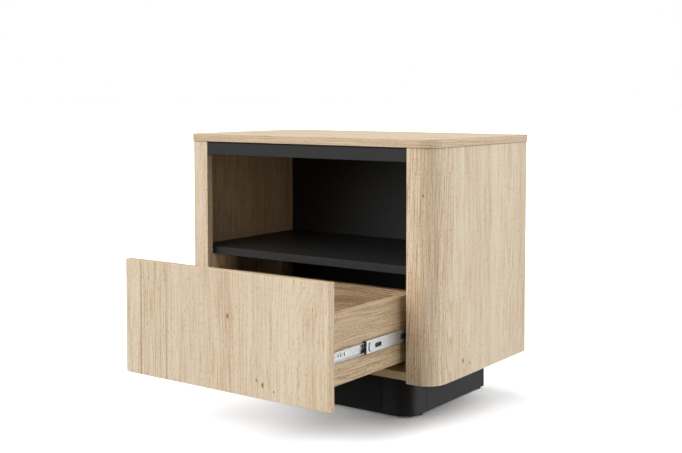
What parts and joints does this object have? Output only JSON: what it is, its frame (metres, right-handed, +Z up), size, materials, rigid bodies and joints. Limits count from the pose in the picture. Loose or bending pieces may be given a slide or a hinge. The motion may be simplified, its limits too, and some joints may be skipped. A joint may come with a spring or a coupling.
{
  "type": "bedside cabinet",
  "caption": "Bedside cabinet in light oak with rounded front corners, an open niche over a handleless drawer on telescopic slides, and a recessed black plinth.",
  "frame": {"origin": "on the floor, under the middle of the whole outline with the drawer partly open", "axes": "+X to the right seen from the front, +Y to the back, +Z up; the drawer opens towards -Y"},
  "size_m": [0.641, 0.6321, 0.568],
  "materials": {
    "oak_board": "light oak decor with fine straight grain, satin",
    "black_board": "matt black laminate on board",
    "thin_board": "thin lacquered hardboard",
    "beech_dowel": "plain beech",
    "black_plastic": "moulded, fine texture",
    "zinc_plated_steel": "bright zinc-plated sheet",
    "ball_steel": "polished",
    "screw_steel": "zinc-plated",
    "cast_zinc": "die-cast zinc alloy"
  },
  "bodies": {
    "cabinet": {"top_panel": "oak_board", "right_post": "oak_board", "left_post": "oak_board", "right_side_panel": "oak_board", "left_side_panel": "oak_board", "bottom_panel": "oak_board", "shelf": "black_board", "back_panel": "black_board", "front_rail": "black_board", "right_front_carrier": "oak_board", "left_front_carrier": "oak_board", "right_rear_carrier": "oak_board", "left_rear_carrier": "oak_board", "carcass_dowels": "beech_dowel", "rail_dowels": "beech_dowel", "plinth_front": "black_board", "plinth_back": "black_board", "right_plinth_corner": "black_board", "left_plinth_corner": "black_board", "right_plinth_side": "black_board", "left_plinth_side": "black_board", "right_front_glide": "black_plastic", "left_front_glide": "black_plastic", "right_rear_glide": "black_plastic", "left_rear_glide": "black_plastic", "plinth_brackets": "screw_steel", "bracket_screws": "screw_steel", "right_slide_cabinet_member": "zinc_plated_steel", "left_slide_cabinet_member": "zinc_plated_steel", "cabinet_slide_screws": "screw_steel"},
    "drawer": {"drawer_front": "oak_board", "right_drawer_side": "oak_board", "left_drawer_side": "oak_board", "drawer_back": "oak_board", "drawer_floor": "thin_board", "drawer_cams": "cast_zinc", "drawer_cam_bolts": "screw_steel", "drawer_box_screws": "screw_steel", "right_slide_drawer_member": "zinc_plated_steel", "left_slide_drawer_member": "zinc_plated_steel", "drawer_slide_screws": "screw_steel"},
    "right_middle": {"right_slide_middle_member": "zinc_plated_steel"},
    "right_outer_cage": {"right_slide_outer_cage": "black_plastic", "right_slide_outer_balls": "ball_steel"},
    "right_inner_cage": {"right_slide_inner_cage": "black_plastic", "right_slide_inner_balls": "ball_steel"},
    "right_lever": {"right_release_lever": "black_plastic"},
    "left_middle": {"left_slide_middle_member": "zinc_plated_steel"},
    "left_outer_cage": {"left_slide_outer_cage": "black_plastic", "left_slide_outer_balls": "ball_steel"},
    "left_inner_cage": {"left_slide_inner_cage": "black_plastic", "left_slide_inner_balls": "ball_steel"},
    "left_lever": {"left_release_lever": "black_plastic"}
  },
  "joints": [
    {"name": "drawer_slide", "type": "slide", "parent": "cabinet", "child": "drawer", "axis": [0, -1, 0], "range_m": [-0.2456, 0.0544]},
    {"name": "right_middle_slide", "type": "slide", "parent": "cabinet", "child": "right_middle", "axis": [0, -1, 0], "range_m": [-0.14746, 0.03274]},
    {"name": "right_outer_cage_slide", "type": "slide", "parent": "cabinet", "child": "right_outer_cage", "axis": [0, -1, 0], "range_m": [-0.07378, 0.01642]},
    {"name": "right_inner_cage_slide", "type": "slide", "parent": "cabinet", "child": "right_inner_cage", "axis": [0, -1, 0], "range_m": [-0.19658, 0.04362]},
    {"name": "right_lever_pivot", "type": "hinge", "parent": "drawer", "child": "right_lever", "pos_m": [0.2451, -0.1442, 0.19], "axis": [1, 0, 0], "range_deg": [-4, 4], "stiffness_Nm_per_rad": 0.004},
    {"name": "left_middle_slide", "type": "slide", "parent": "cabinet", "child": "left_middle", "axis": [0, -1, 0], "range_m": [-0.14746, 0.03274]},
    {"name": "left_outer_cage_slide", "type": "slide", "parent": "cabinet", "child": "left_outer_cage", "axis": [0, -1, 0], "range_m": [-0.07378, 0.01642]},
    {"name": "left_inner_cage_slide", "type": "slide", "parent": "cabinet", "child": "left_inner_cage", "axis": [0, -1, 0], "range_m": [-0.19658, 0.04362]},
    {"name": "left_lever_pivot", "type": "hinge", "parent": "drawer", "child": "left_lever", "pos_m": [-0.2451, -0.1442, 0.19], "axis": [1, 0, 0], "range_deg": [-4, 4], "stiffness_Nm_per_rad": 0.004}
  ],
  "couplings": [
    {"joint": "right_middle_slide", "follows": "drawer_slide", "ratio": 0.6},
    {"joint": "right_outer_cage_slide", "follows": "drawer_slide", "ratio": 0.3},
    {"joint": "right_inner_cage_slide", "follows": "drawer_slide", "ratio": 0.8},
    {"joint": "left_middle_slide", "follows": "drawer_slide", "ratio": 0.6},
    {"joint": "left_outer_cage_slide", "follows": "drawer_slide", "ratio": 0.3},
    {"joint": "left_inner_cage_slide", "follows": "drawer_slide", "ratio": 0.8}
  ]
}
